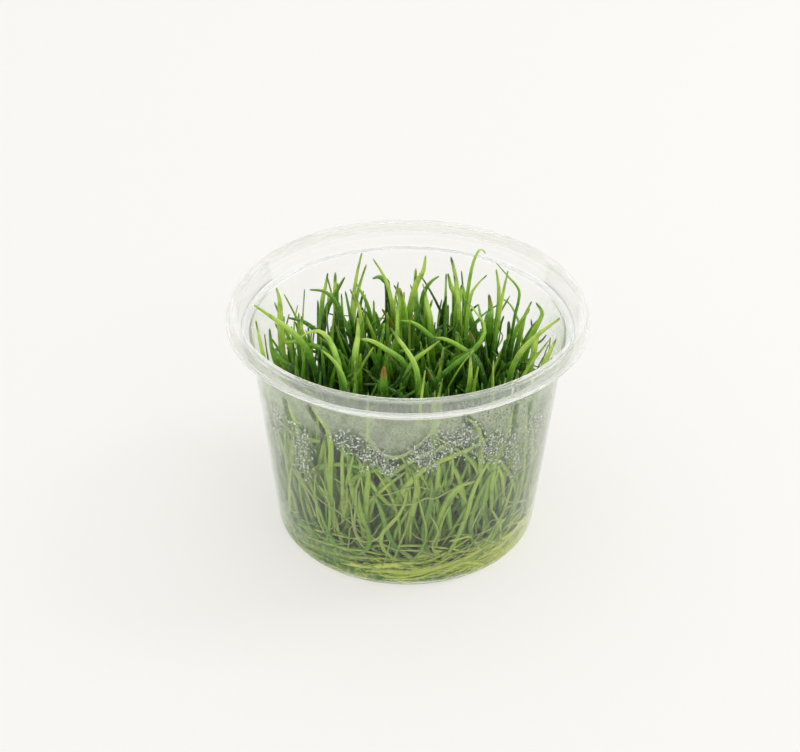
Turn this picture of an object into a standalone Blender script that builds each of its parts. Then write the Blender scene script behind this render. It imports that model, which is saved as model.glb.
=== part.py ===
"""Lilaeopsis brasiliensis, grown from tissue culture, in its clear plastic cup.

The cup stands on the plane z = 0 with its axis on Z. Its front, the side that the leaves were
measured from, looks along -Y. Sizes below are in millimetres and the model is in metres.
"""
import math
import random

import bmesh
import bpy
import numpy as np
from mathutils import Vector

MM = 0.001
COLLECTION = "lilaeopsis_brasiliensis_cup"

# Cup
CUP_HEIGHT = 70.0
CUP_SEGMENTS = 40
BASE_RADIUS = 37.1          # where the tapered wall would meet the table
BASE_CORNER = 2.4
BASE_THICKNESS = 1.0
SHOULDER_RADIUS = 44.0      # outside of the tapered wall, under the stacking ledge
SHOULDER_Z = 62.5
WALL_THICKNESS = 0.8
LEDGE_Z = 63.3              # top of the stacking ledge
RIM_WALL_FOOT = 45.6        # inside of the upright rim wall, at the ledge
RIM_INNER = 47.0            # inside edge of the flange
FLANGE_OUTER = 49.4
LIP_RADIUS = 50.5
LIP_Z = 66.9                # top of the small outward lip at the skirt's lower edge
LIP_THICKNESS = 1.0

# Mat of runners, roots and leaf bases
GAP = 0.3
MAT_SEGMENTS = 30
MAT_CENTRE_Z = 9.0
MAT_EDGE_RISE = 3.0
MAT_RIDGE = 0.5             # depth of the strands' relief at the wall
MAT_RIDGE_PITCH = 3.4

# Plantlets
CROWN_RADIUS = 1.7
CROWN_HALF_HEIGHT = 2.2
LEAF_THICKNESS = 0.5
LEAF_SECTIONS = 4
LEAVES_EACH = 4
CLEARANCE = 2.7             # least distance between the midlines of two plantlets' leaves
CROWN_SPACING = 7.0
EXTRA_PLANTLETS = 7

# Plantlets in the open middle of the cup: the crown's x and y, then one route of x, y and z for each
# leaf that stands out, from above the crown to the tip.
OPEN_PLANTLETS = [
    ((16, 14), [((16, 16, 42), (17, 18, 60), (18, 19, 70), (20, 20, 76), (22, 20, 75)),
                ((15, 14, 42), (15, 13, 57), (14, 14, 65), (13, 14, 71))]),
    ((0, 17), [((0, 18, 42), (1, 20, 60), (4, 21, 67), (5, 22, 73)),
               ((-1, 21, 42), (-2, 24, 56), (-4, 24, 62))]),
    ((-7, 16), [((-4, 18, 42), (-4, 18, 55), (-6, 20, 65), (-10, 20, 73)),
                ((-10, 20, 42), (-11, 21, 55), (-15, 22, 64))]),
    ((-24, 15), [((-24, 18, 42), (-25, 20, 55), (-24, 22, 61), (-23, 22, 67)),
                 ((-25, 15, 40), (-24, 17, 55), (-21, 18, 62), (-18, 18, 68))]),
    ((-17, 8), [((-18, 12, 42), (-19, 14, 54), (-20, 15, 60), (-23, 16, 64), (-28, 16, 65)),
                ((-14, 11, 40), (-13, 13, 54), (-15, 16, 64))]),
    ((-27, 6), [((-34, 6, 35), (-36, 8, 54), (-36, 10, 63), (-37, 10, 69)),
                ((-29, 6, 42), (-30, 7, 55), (-30, 8, 61))]),
    ((-21, -1), [((-25, -1, 45), (-29, 0, 56), (-33, 2, 60), (-38, 4, 63), (-43, 4, 67))]),
    ((-28, -8), [((-36, -7, 38), (-40, -6, 57), (-42, -3, 66))]),
    ((-16, -15), [((-17, -14, 38), (-18, -12, 51), (-20, -7, 58), (-23, -3, 62), (-27, -2, 62), (-30, -2, 60)),
                  ((-16, -16, 40), (-17, -14, 52), (-20, -10, 57), (-24, -8, 60))]),
    ((27, 14), [((29, 14, 42), (31, 16, 59), (32, 17, 64), (29, 18, 68), (25, 18, 73)),
                ((25, 16, 42), (26, 17, 56), (26, 18, 64), (25, 18, 71)),
                ((30, 12, 40), (32, 11, 52), (33, 12, 58), (35, 12, 64))]),
    ((20, 6), [((24, 10, 42), (26, 11, 61), (28, 12, 74)),
               ((17, 8, 42), (17, 10, 62), (19, 11, 69), (22, 11, 73))]),
    ((27, 3), [((32, 5, 40), (34, 6, 52), (36, 7, 58), (38, 8, 62), (36, 8, 66)),
               ((29, 7, 42), (30, 8, 54), (33, 8, 61))]),
    ((25, -7), [((28, -6, 42), (29, -6, 52), (32, -4, 58), (37, -3, 63), (42, -2, 67)),
                ((33, -10, 42), (38, -9, 57), (41, -5, 62))]),
    ((9, 21), [((11, 21, 42), (11, 23, 54), (11, 24, 66)),
               ((5, 23, 42), (4, 25, 55), (6, 26, 61), (9, 26, 64))]),
    ((-1, 9), [((-1, 11, 42), (-1, 13, 57), (-2, 14, 66)),
               ((-3, 5, 42), (-3, 3, 54), (-3, 6, 61), (-3, 8, 66))]),
    ((-15, 22), [((-15, 20, 38), (-16, 20, 50), (-18, 22, 61))]),
    ((3, -14), [((3, -14, 38), (3, -14, 52), (2, -11, 57), (-1, -8, 61), (-5, -6, 66))]),
    ((-5, -7), [((-3, -8, 38), (-1, -8, 48), (1, -6, 54), (5, -4, 57), (9, -3, 60))]),
    ((8, -6), [((7, -8, 38), (8, -8, 50), (16, -4, 55), (22, 2, 59), (19, 6, 64), (16, 8, 67))]),
    ((15, -17), [((16, -17, 40), (17, -18, 56), (17, -15, 64))]),
]

# Plantlets at the wall: the crown's angle, then one route for each leaf of angle, height and distance
# from the wall. Angles are in degrees, 0 at the front and growing towards +X.
WALL_PLANTLETS = [
    (-34, [((-33, 26, 1), (-31, 41, 1), (-30, 50, 1), (-34, 55, 1), (-37, 58, 1)),
           ((-27, 25, 1), (-26, 40, 1), (-24, 51, 1))]),
    (-54, [((-48, 30, 4), (-46, 46, 1), (-49, 52, 1), (-50, 56, 1)),
           ((-56, 25, 3), (-62, 40, 1), (-66, 52, 1))]),
    (-17, [((-17, 27, 1), (-15, 38, 1), (-16, 45, 1)),
           ((-8, 22, 4), (-2, 34, 4), (4, 41, 4), (12, 45, 1), (27, 48, 1), (34, 51, 1))]),
    (0, [((2, 26, 1), (4, 35, 1), (3, 40, 1), (-1, 45, 1))]),
    (12, [((11, 28, 5), (12, 38, 5), (12, 46, 5)), ((14, 25, 1), (18, 33, 1), (23, 35, 1), (29, 35, 1))]),
    (29, [((26, 22, 4), (22, 26, 4), (16, 31, 4)), ((30, 36, 5), (29, 46, 5), (27, 54, 3), (21, 59, 1))]),
    (44, [((38, 25, 1), (36, 38, 1), (41, 48, 1), (42, 58, 1))]),
    (58, [((57, 22, 1), (55, 34, 1), (52, 46, 1), (50, 56, 1))]),
]

# Single runners and pale roots on the wall: radius, then angle and height along the route.
WALL_RUNNERS = [
    (0.45, ((-15, 54), (-11, 49), (-6, 47), (-1, 48), (5, 52), (12, 59))),
    (0.40, ((-20, 34), (-21, 26), (-22, 19), (-19, 15), (-14, 16), (-10, 19), (-8, 25))),
    (0.40, ((-52, 33), (-46, 28), (-41, 24), (-38, 18))),
]


def clear_scene():
    for thing in list(bpy.data.objects):
        bpy.data.objects.remove(thing, do_unlink=True)


def new_collection(name):
    collection = bpy.data.collections.new(name)
    bpy.context.scene.collection.children.link(collection)
    return collection


def material(name, colour, roughness, metallic=0.0):
    made = bpy.data.materials.new(name)
    made.use_nodes = True
    shader = made.node_tree.nodes["Principled BSDF"]
    shader.inputs["Base Color"].default_value = (*colour, 1.0)
    shader.inputs["Roughness"].default_value = roughness
    shader.inputs["Metallic"].default_value = metallic
    return made


def place(name, mesh, collection, finish):
    made = bpy.data.objects.new(name, mesh)
    mesh.materials.append(finish)
    mesh.shade_smooth()
    mesh.set_sharp_from_angle(angle=math.radians(35))
    collection.objects.link(made)
    return made


def guide(thing):
    """Keeps a helper object out of the model."""
    thing.hide_render = True
    thing.display_type = "WIRE"


def inner_radius(z):
    """Inside radius of the tapered wall at a height in millimetres."""
    slope = (SHOULDER_RADIUS - BASE_RADIUS) / SHOULDER_Z
    return BASE_RADIUS - WALL_THICKNESS + slope * z


def cup_profile():
    """The cup's section in millimetres: down the outside, under the base, and up the inside."""
    t = WALL_THICKNESS
    corner = BASE_CORNER
    foot = BASE_RADIUS + (SHOULDER_RADIUS - BASE_RADIUS) * corner / SHOULDER_Z
    lip_foot = LIP_Z - LIP_THICKNESS
    outside = [(RIM_INNER, CUP_HEIGHT), (FLANGE_OUTER - 0.3, CUP_HEIGHT), (FLANGE_OUTER, CUP_HEIGHT - 0.3),
               (FLANGE_OUTER + 0.3, LIP_Z), (LIP_RADIUS, LIP_Z - 0.2),
               (LIP_RADIUS - 0.1, lip_foot), (FLANGE_OUTER - 0.5, lip_foot),
               (FLANGE_OUTER - 0.9, CUP_HEIGHT - t), (RIM_INNER + t, CUP_HEIGHT - t),
               (RIM_WALL_FOOT + t, LEDGE_Z - t), (SHOULDER_RADIUS, SHOULDER_Z)]
    base = [(foot, corner), (foot - 0.25 * corner, 0.35 * corner), (foot - corner, 0.0), (0.0, 0.0)]
    floor = foot - corner - 0.3
    inside = [(0.0, BASE_THICKNESS), (floor, BASE_THICKNESS),
              (inner_radius(corner + 0.6), corner + 0.6), (inner_radius(SHOULDER_Z), SHOULDER_Z),
              (SHOULDER_RADIUS - 0.5, LEDGE_Z), (RIM_WALL_FOOT, LEDGE_Z + 0.1), (RIM_INNER, CUP_HEIGHT)]
    return outside + base + inside


def turned_mesh(name, profile, segments):
    """A closed mesh turned round Z from a section in millimetres."""
    mesh = bpy.data.meshes.new(name + "_section")
    bm = bmesh.new()
    points = [bm.verts.new((r * MM, 0.0, z * MM)) for r, z in profile]
    for start, end in zip(points, points[1:]):
        bm.edges.new((start, end))
    bm.to_mesh(mesh)
    bm.free()
    section = bpy.data.objects.new(name + "_section", mesh)
    bpy.context.scene.collection.objects.link(section)
    screw = section.modifiers.new("turn", "SCREW")
    screw.axis = "Z"
    screw.steps = segments
    screw.render_steps = segments
    screw.use_merge_vertices = True
    screw.merge_threshold = 0.00001
    evaluated = section.evaluated_get(bpy.context.evaluated_depsgraph_get())
    turned = bpy.data.meshes.new_from_object(evaluated)
    turned.name = name
    bpy.data.objects.remove(section, do_unlink=True)
    return turned


def make_cup(collection):
    mesh = turned_mesh("cup", cup_profile(), CUP_SEGMENTS)
    bm = bmesh.new()
    bm.from_mesh(mesh)
    bmesh.ops.remove_doubles(bm, verts=bm.verts, dist=0.00001)
    bmesh.ops.recalc_face_normals(bm, faces=bm.faces)
    bm.to_mesh(mesh)
    bm.free()
    place("cup", mesh, collection, material("clear_plastic", (0.93, 0.95, 0.94), 0.08))


def mat_top(x, y):
    """Height of the mat's upper side in millimetres, higher towards the wall."""
    reach = math.hypot(x, y) / inner_radius(MAT_CENTRE_Z)
    angle = math.atan2(y, x)
    lumps = 0.5 * math.sin(5 * angle + 1.0) * reach * (1 - reach)
    return MAT_CENTRE_Z + MAT_EDGE_RISE * reach ** 3 + lumps


def mat_profile():
    """The mat's section before its relief: the side runs down the wall, then in under the base."""
    low = BASE_THICKNESS + GAP
    top = MAT_CENTRE_Z + MAT_EDGE_RISE
    side = [(inner_radius(z) - GAP, z) for z in np.linspace(top, BASE_CORNER + 1.4, 7)]
    crown = [(0.0, top), (20.0, top), (30.0, top)]
    return crown + side + [(inner_radius(0) - BASE_CORNER - 0.6, low), (0.0, low)]


def make_mat(collection):
    mesh = turned_mesh("runner_mat", mat_profile(), MAT_SEGMENTS)
    bm = bmesh.new()
    bm.from_mesh(mesh)
    bmesh.ops.remove_doubles(bm, verts=bm.verts, dist=0.00001)
    top = MAT_CENTRE_Z + MAT_EDGE_RISE
    for vert in bm.verts:
        x, y, z = vert.co / MM
        angle = math.atan2(y, x)
        if z > top - 0.01:
            vert.co.z = mat_top(x, y) * MM
        elif z > BASE_CORNER:
            wave = math.sin(2 * math.pi * z / MAT_RIDGE_PITCH + 2.0 * math.sin(3 * angle))
            inward = 1 - MAT_RIDGE * (1 + wave) / math.hypot(x, y)
            vert.co.x *= inward
            vert.co.y *= inward
    bmesh.ops.recalc_face_normals(bm, faces=bm.faces)
    bm.to_mesh(mesh)
    bm.free()
    place("runner_mat", mesh, collection, material("runners", (0.33, 0.42, 0.10), 0.55))


def wall_point(angle, z, distance):
    """A point at a distance from the inside of the wall, in millimetres."""
    radius = inner_radius(z) - distance
    turn = math.radians(angle)
    return Vector((radius * math.sin(turn), -radius * math.cos(turn), z))


def smooth_route(points, count):
    """Evenly numbered points on a smooth curve through the given ones."""
    points = [Vector(point) for point in points]
    ends = [2 * points[0] - points[1]] + points + [2 * points[-1] - points[-2]]
    spans = len(points) - 1
    route = []
    for step in range(count):
        place_on = step / (count - 1) * spans
        span = min(int(place_on), spans - 1)
        t = place_on - span
        a, b, c, d = ends[span:span + 4]
        route.append(0.5 * (2 * b + (c - a) * t + (2 * a - 5 * b + 4 * c - d) * t * t
                            + (3 * b - a - 3 * c + d) * t ** 3))
    return route


def grown_route(start, length, lean, curl, heading, spin):
    """A leaf's midline: it leaves the crown at a lean, and curls and turns as it grows."""
    route = [Vector(start)]
    for step in range(LEAF_SECTIONS):
        t = (step + 0.5) / LEAF_SECTIONS
        tilt = lean + curl * t ** 1.6
        turn = heading + spin * t
        way = Vector((math.sin(tilt) * math.cos(turn), math.sin(tilt) * math.sin(turn), math.cos(tilt)))
        route.append(route[-1] + way * (length / LEAF_SECTIONS))
    return route


def samples(route, per_span=6):
    """Points along a route, close enough together to measure clearances."""
    found = []
    for start, end in zip(route, route[1:]):
        for step in range(per_span):
            found.append(start.lerp(end, step / per_span))
    found.append(route[-1])
    return np.array(found)


def fits(route, half_width, obstacles):
    """True where a leaf stays inside the cup, above the mat, and clear of the other plantlets."""
    points = samples(route)
    reach = np.hypot(points[:, 0], points[:, 1])
    below = points[:, 2] < LEDGE_Z
    limit = np.where(below, inner_radius(points[:, 2]), RIM_WALL_FOOT) - half_width - GAP
    if np.any(reach > limit) or points[:, 2].max() > CUP_HEIGHT - 2:
        return False
    if np.any(points[8:, 2] < MAT_CENTRE_Z + MAT_EDGE_RISE + half_width):
        return False
    if len(obstacles) == 0:
        return True
    apart = np.linalg.norm(points[:, None, :] - obstacles[None, :, :], axis=2)
    return apart.min() > CLEARANCE


def add_leaf(bm, route, width, on_wall):
    """A tapering three-sided blade along a midline. On the wall it lies flat against the plastic."""
    sections = len(route) - 1
    leaf = bmesh.new()
    bmesh.ops.create_cone(leaf, cap_ends=True, segments=3, radius1=1, radius2=1, depth=1)
    rising = [edge for edge in leaf.edges if abs(edge.verts[0].co.z - edge.verts[1].co.z) > 0.5]
    bmesh.ops.subdivide_edges(leaf, edges=rising, cuts=sections - 1)
    across = Vector((route[0].y - route[-1].y, route[-1].x - route[0].x, 0.0))
    if across.length < 0.5:
        across = Vector((1.0, 0.0, 0.0))
    frames = []
    for index, point in enumerate(route):
        ahead = (route[min(index + 1, sections)] - route[max(index - 1, 0)]).normalized()
        if on_wall:
            across = ahead.cross(Vector((point.x, point.y, 0.0))).normalized()
        across = (across - ahead * across.dot(ahead)).normalized()
        frames.append((point, across, ahead.cross(across)))
    for vert in leaf.verts:
        t = vert.co.z + 0.5
        point, sideways, outward = frames[round(t * sections)]
        taper = min(1.0, 0.55 + 2.5 * t) * (1.0 if t < 0.6 else 1.0 - 0.8 * ((t - 0.6) / 0.4) ** 1.5)
        half = 0.58 * width * taper
        depth = 0.67 * LEAF_THICKNESS * max(0.6, taper)
        vert.co = (point + sideways * vert.co.x * half + outward * vert.co.y * depth) * MM
    blade = bpy.data.meshes.new("blade")
    leaf.to_mesh(blade)
    leaf.free()
    bm.from_mesh(blade)
    bpy.data.meshes.remove(blade)


def make_plantlet(number, crown, leaves, collection, cutters, finish):
    """One plantlet: a small crown with its leaves grown from it, as one solid."""
    name = f"plantlet_{number:02d}"
    mesh = bpy.data.meshes.new(name)
    bm = bmesh.new()
    bmesh.ops.create_icosphere(bm, subdivisions=1, radius=1.0)
    for vert in bm.verts:
        stretched = Vector((vert.co.x * CROWN_RADIUS, vert.co.y * CROWN_RADIUS, vert.co.z * CROWN_HALF_HEIGHT))
        vert.co = (crown + stretched) * MM
    bm.to_mesh(mesh)
    bm.free()
    body = place(name, mesh, collection, finish)

    blades = bpy.data.meshes.new(name + "_leaves")
    bm = bmesh.new()
    for route, width, on_wall in leaves:
        add_leaf(bm, route, width, on_wall)
    bm.to_mesh(blades)
    bm.free()
    operand = bpy.data.objects.new(name + "_leaves", blades)
    cutters.objects.link(operand)
    guide(operand)

    union = body.modifiers.new("grown_together", "BOOLEAN")
    union.operation = "UNION"
    union.solver = "EXACT"
    union.use_self = True
    union.object = operand


def crown_at(x, y):
    """The crown's centre, resting just above the mat."""
    return Vector((x, y, mat_top(x, y) + GAP + CROWN_HALF_HEIGHT))


def leaf_foot(crown, heading):
    """Where a leaf leaves its crown, off the crown's middle on the leaf's own side."""
    return crown + Vector((math.cos(heading), math.sin(heading), 0.0)) * (0.5 * CROWN_RADIUS)


def route_from(crown, points):
    """A leaf's midline from its crown through the given points to its tip."""
    points = [Vector(point) for point in points]
    towards = points[0] - crown
    foot = leaf_foot(crown, math.atan2(towards.y, towards.x))
    return smooth_route([foot, *points], len(points) + 2)


def shown_plantlets():
    """Crowns of the plantlets whose leaves stand out, each with its routes on the wall or off it."""
    found = []
    for (x, y), routes in OPEN_PLANTLETS:
        crown = crown_at(x, y)
        found.append((crown, [(route_from(crown, route), False) for route in routes]))
    for angle, routes in WALL_PLANTLETS:
        foot = wall_point(angle, MAT_CENTRE_Z, 5.0)
        crown = crown_at(foot.x, foot.y)
        walls = [[wall_point(*step) for step in route] for route in routes]
        found.append((crown, [(route_from(crown, points), True) for points in walls]))
    return found


def spread_crowns(taken, count):
    """More crowns on a sunflower layout, wherever there is room for one."""
    found = []
    golden = math.pi * (3 - math.sqrt(5))
    for index in range(400):
        reach = 31.0 * math.sqrt((index + 0.5) / 400)
        crown = crown_at(reach * math.cos(index * golden), reach * math.sin(index * golden))
        if len(found) < count and all((crown - other).length > CROWN_SPACING for other in taken + found):
            found.append(crown)
    return found


def make_plantlets(collection, cutters, runners):
    rng = random.Random(726)
    finish = material("leaf_green", (0.10, 0.32, 0.035), 0.42)
    plantlets = shown_plantlets()
    for crown in spread_crowns([crown for crown, _ in plantlets], EXTRA_PLANTLETS):
        plantlets.append((crown, []))
    grown = [[samples(route) for route, _ in routes] for _, routes in plantlets]
    for index, (crown, routes) in enumerate(plantlets):
        others = [route for other, group in enumerate(grown) if other != index for route in group]
        crowns = [np.array([other]) for other, _ in plantlets if other is not crown]
        obstacles = np.concatenate(others + crowns + runners)
        for attempt in range(500):
            if len(routes) >= LEAVES_EACH:
                break
            outward = math.atan2(crown.y, crown.x)
            heading = rng.uniform(-math.pi, math.pi) if rng.random() < 0.6 else outward
            route = grown_route(leaf_foot(crown, heading), rng.uniform(30, 54), math.radians(rng.uniform(1, 20)),
                                math.radians(rng.uniform(-10, 55)), heading, rng.uniform(-0.8, 0.8))
            if fits(route, 1.2, obstacles):
                routes.append((route, False))
                grown[index].append(samples(route))
        leaves = [(route, rng.uniform(1.8, 2.5), on_wall) for route, on_wall in routes]
        make_plantlet(index + 1, crown, leaves, collection, cutters, finish)


def make_runners(collection):
    """Thin stems and roots that lie on the wall. Returns their sampled routes."""
    finish = material("pale_root", (0.62, 0.66, 0.38), 0.5)
    sampled = []
    for number, (radius, steps) in enumerate(WALL_RUNNERS, start=1):
        route = smooth_route([wall_point(angle, z, radius + GAP) for angle, z in steps], 2 * len(steps) + 1)
        name = f"runner_{number:02d}"
        curve = bpy.data.curves.new(name, "CURVE")
        curve.dimensions = "3D"
        curve.bevel_depth = radius * MM
        curve.bevel_resolution = 0
        curve.use_fill_caps = True
        curve.render_resolution_u = 0
        spline = curve.splines.new("POLY")
        spline.points.add(len(route) - 1)
        for point, target in zip(spline.points, route):
            point.co = (*(target * MM), 1.0)
        made = bpy.data.objects.new(name, curve)
        curve.materials.append(finish)
        collection.objects.link(made)
        sampled.append(samples(route))
    return sampled


def main():
    clear_scene()
    collection = new_collection(COLLECTION)
    cutters = new_collection("construction")
    make_cup(collection)
    make_mat(collection)
    runners = make_runners(collection)
    make_plantlets(collection, cutters, runners)


main()
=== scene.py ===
"""Lilaeopsis brasiliensis from tissue culture in its clear plastic cup, with its real surfaces.

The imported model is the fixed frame: metres, +Z up, the cup's axis on Z and its front towards -Y. The
pieces' sizes are in millimetres, and are turned into metres as each mesh is made. The studio's are in
metres, and so are places inside a material, except the cup's.
"""
import math
import random

import bpy
import mathutils
import numpy as np
from mathutils import Matrix, Vector


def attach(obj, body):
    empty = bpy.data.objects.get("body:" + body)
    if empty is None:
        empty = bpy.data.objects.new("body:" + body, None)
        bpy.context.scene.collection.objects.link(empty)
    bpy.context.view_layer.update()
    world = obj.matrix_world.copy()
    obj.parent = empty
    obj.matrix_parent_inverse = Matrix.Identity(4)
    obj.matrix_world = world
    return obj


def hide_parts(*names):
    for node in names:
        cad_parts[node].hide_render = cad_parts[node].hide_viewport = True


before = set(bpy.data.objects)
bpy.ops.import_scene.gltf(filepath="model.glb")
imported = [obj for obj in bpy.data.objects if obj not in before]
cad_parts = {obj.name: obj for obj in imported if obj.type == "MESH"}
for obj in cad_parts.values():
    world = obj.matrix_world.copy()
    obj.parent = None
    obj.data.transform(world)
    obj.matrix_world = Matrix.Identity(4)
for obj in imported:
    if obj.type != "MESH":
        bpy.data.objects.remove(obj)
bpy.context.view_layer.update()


# The studio: the photograph's view, a pale table, bright soft light from all round and two soft boxes.
# The view looks down at 33 degrees from 57 cm, through a lens that gives the cup half the picture's width.
class Shade:
    """A socket in a material's nodes. Sums on it add Math nodes, and node() adds any other kind."""

    def __init__(self, tree, socket=None):
        self.tree = tree
        self.socket = socket

    def node(self, kind, values=(), settings=(), out=0):
        made = self.tree.nodes.new("ShaderNode" + kind)
        for name, value in dict(settings).items():
            if name == "stops":
                while len(made.color_ramp.elements) < len(value):
                    made.color_ramp.elements.new(1.0)
                for stop, (place, colour) in zip(made.color_ramp.elements, value):
                    stop.position = place
                    stop.color = (*colour, 1.0)
            else:
                setattr(made, name, value)
        for name, value in dict(values).items():
            if isinstance(value, Shade):
                self.tree.links.new(value.socket, made.inputs[name])
            else:
                made.inputs[name].default_value = value
        return Shade(self.tree, made.outputs[out])

    def sum(self, operation, first, second=0.0, third=0.0):
        return self.node("Math", {0: first, 1: second, 2: third}, {"operation": operation})

    def __add__(self, other):
        return self.sum("ADD", self, other)

    def __sub__(self, other):
        return self.sum("SUBTRACT", self, other)

    def __rsub__(self, other):
        return self.sum("SUBTRACT", other, self)

    def __mul__(self, other):
        return self.sum("MULTIPLY", self, other)

    def __truediv__(self, other):
        return self.sum("DIVIDE", self, other)

    def __pow__(self, other):
        return self.sum("POWER", self, other)

    __radd__ = __add__
    __rmul__ = __mul__

    def rise(self, low, high):
        """0 below low and 1 above high, with a soft step between."""
        return self.node("MapRange", {"Value": self, "From Min": low, "From Max": high},
                         {"interpolation_type": "SMOOTHSTEP"})

    def blend(self, first, second):
        """A colour between two, by this factor."""
        return self.node("Mix", {0: self, 6: first, 7: second}, {"data_type": "RGBA"}, out=2)

    def noise(self, scale, detail=2.0, roughness=0.5):
        """Cloudy noise at this place."""
        return self.node("TexNoise", {"Vector": self, "Scale": scale, "Detail": detail,
                                      "Roughness": roughness})

    def bumps(self, distance, strength=1.0):
        """A surface that follows this height."""
        return self.node("Bump", {"Height": self, "Strength": strength, "Distance": distance})


def finish(name, roughness, **fixed):
    """A material with a Principled shader. Returns the material, a Shade to start from and the shader."""
    made = bpy.data.materials.new(name)
    made.use_nodes = True
    shader = made.node_tree.nodes["Principled BSDF"]
    shader.inputs["Roughness"].default_value = roughness
    for socket, value in fixed.items():
        shader.inputs[socket.replace("_", " ")].default_value = value
    return made, Shade(made.node_tree), shader


def feed(shade, shader, **links):
    """Links results to the shader's sockets."""
    for socket, value in links.items():
        shade.tree.links.new(value.socket, shader.inputs[socket.replace("_", " ")])


VIEW_HEIGHT = math.radians(32.87)  # how far the camera looks down
VIEW_ROLL = math.radians(0.42)
VIEW_CENTRE = Vector((0.0, 0.0, 0.035))
VIEW_DISTANCE = 0.5718
VIEW_RIGHT = -0.002075  # how far the camera stands aside of the centre, and above it
VIEW_UP = 0.009506
SKY_COLOUR = (0.99, 0.99, 1.0, 1.0)
SKY_STRENGTH = 0.97
TABLE_SIZE = 8.0
TABLE_COLOUR = (0.34, 0.337, 0.33, 1.0)
TABLE_GLOW = (1.0, 0.985, 0.93, 1.0)
right = Vector((1.0, 0.0, 0.0))
up = Vector((0.0, math.sin(VIEW_HEIGHT), math.cos(VIEW_HEIGHT)))
ahead = Vector((0.0, math.cos(VIEW_HEIGHT), -math.sin(VIEW_HEIGHT)))
camera = bpy.data.objects.new("photo_view", bpy.data.cameras.new("photo_view"))
camera.data.lens = 90.0
camera.data.sensor_width = 36.0
camera.data.clip_start = 0.01
eye = VIEW_CENTRE - ahead * VIEW_DISTANCE + right * VIEW_RIGHT + up * VIEW_UP
camera.matrix_world = (Matrix.Translation(eye) @ Matrix((right, up, -ahead)).transposed().to_4x4()
                       @ Matrix.Rotation(VIEW_ROLL, 4, "Z"))
bpy.context.scene.collection.objects.link(camera)
bpy.context.scene.camera = camera
bpy.context.scene.view_settings.view_transform = "Standard"

world = bpy.data.worlds.new("studio")
world.use_nodes = True
sky = world.node_tree.nodes["Background"]
sky.inputs["Color"].default_value = SKY_COLOUR
sky.inputs["Strength"].default_value = SKY_STRENGTH
bpy.context.scene.world = world


def lamp(name, place, size, power, target=(0.0, 0.0, 0.04)):
    """A square soft box that points at the cup."""
    light = bpy.data.lights.new(name, "AREA")
    light.size = size
    light.energy = power
    made = bpy.data.objects.new(name, light)
    made.location = place
    made.rotation_euler = (Vector(target) - Vector(place)).to_track_quat("-Z", "Y").to_euler()
    bpy.context.scene.collection.objects.link(made)


lamp("key_light", (0.72, 0.12, 0.85), 0.34, 2.3)
lamp("front_light", (0.45, -0.75, 0.70), 0.22, 0.5)

bpy.ops.object.select_all(action="DESELECT")
bpy.ops.mesh.primitive_plane_add(size=TABLE_SIZE)
table = bpy.context.object
table.name = "table"
white, shade, shader = finish("pale_table", 0.85, Base_Color=TABLE_COLOUR,
                              Emission_Color=TABLE_GLOW, Emission_Strength=0.56)
grain = shade.node("TexCoord", out="Object").noise(60.0, 4.0)
feed(shade, shader, Roughness=grain * 0.1 + 0.8)
table.data.materials.append(white)


# The cup: thin clear polypropylene, injection moulded in one piece. A tapered wall widens at a stacking
# ledge into the rim, whose flange turns down into a short skirt with a small outward lip for the lid.
# Damp air inside has fogged its upper half.
MM = 0.001
CUP_SIDES = 300
BASE_RADIUS = 37.1  # where the outside of the tapered wall would meet the table
WALL = 0.8  # wall thickness
LEDGE = 62.5  # underside of the stacking ledge
SLOPE = 6.9 / LEDGE  # how much the wall's radius grows with height
RIM_FOOT = 63.3  # where the rim's upright wall rises from the ledge
RIM_RADIUS = 45.6  # inside of that wall at its foot
FLANGE = 70.0  # top of the cup


def inner_radius(z):
    """Inside radius of the tapered wall at a height."""
    return BASE_RADIUS - WALL + SLOPE * z


# Radius, height and rounding of each corner, down the outside, under the base and up the inside.
CUP_SECTION = [
    (47.0, FLANGE, 0.30), (49.4, FLANGE, 0.55), (49.7, 66.9, 0.25), (50.5, 66.8, 0.25), (50.42, 65.9, 0.25),
    (48.9, 65.9, 0.20), (48.55, 69.25, 0.20), (47.75, 69.2, 0.25), (46.4, LEDGE, 0.35), (44.0, LEDGE, 0.50),
    (37.34, 2.2, 1.0), (36.2, 0.0, 0.7), (34.0, 0.0, 0.10), (33.7, 0.2, 0.10), (0.0, 0.2, 0.0),
    (0.0, 0.55, 0.0), (35.9, 0.55, 0.4), (36.75, 1.6, 0.5),
    *((inner_radius(z), z, 0.0) for z in np.linspace(4.6, 61.6, 64)),
    (43.2, LEDGE, 0.35), (43.5, RIM_FOOT, 0.35), (RIM_RADIUS, 63.4, 0.40),
]


def rounded(section):
    """The section's points, with three short chords in place of each corner that has a rounding."""
    points = []
    for index, (radius, z, rounding) in enumerate(section):
        corner = Vector((radius, 0.0, z))
        if not rounding:
            points.append(corner)
            continue
        before, after = section[index - 1], section[(index + 1) % len(section)]
        back = (Vector((before[0], 0.0, before[1])) - corner).normalized() * rounding
        on = (Vector((after[0], 0.0, after[1])) - corner).normalized() * rounding
        for t in (0.0, 1 / 3, 2 / 3, 1.0):
            points.append(corner + back * (1 - t) ** 2 + on * t ** 2)
    return [point * MM for point in points]


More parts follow.
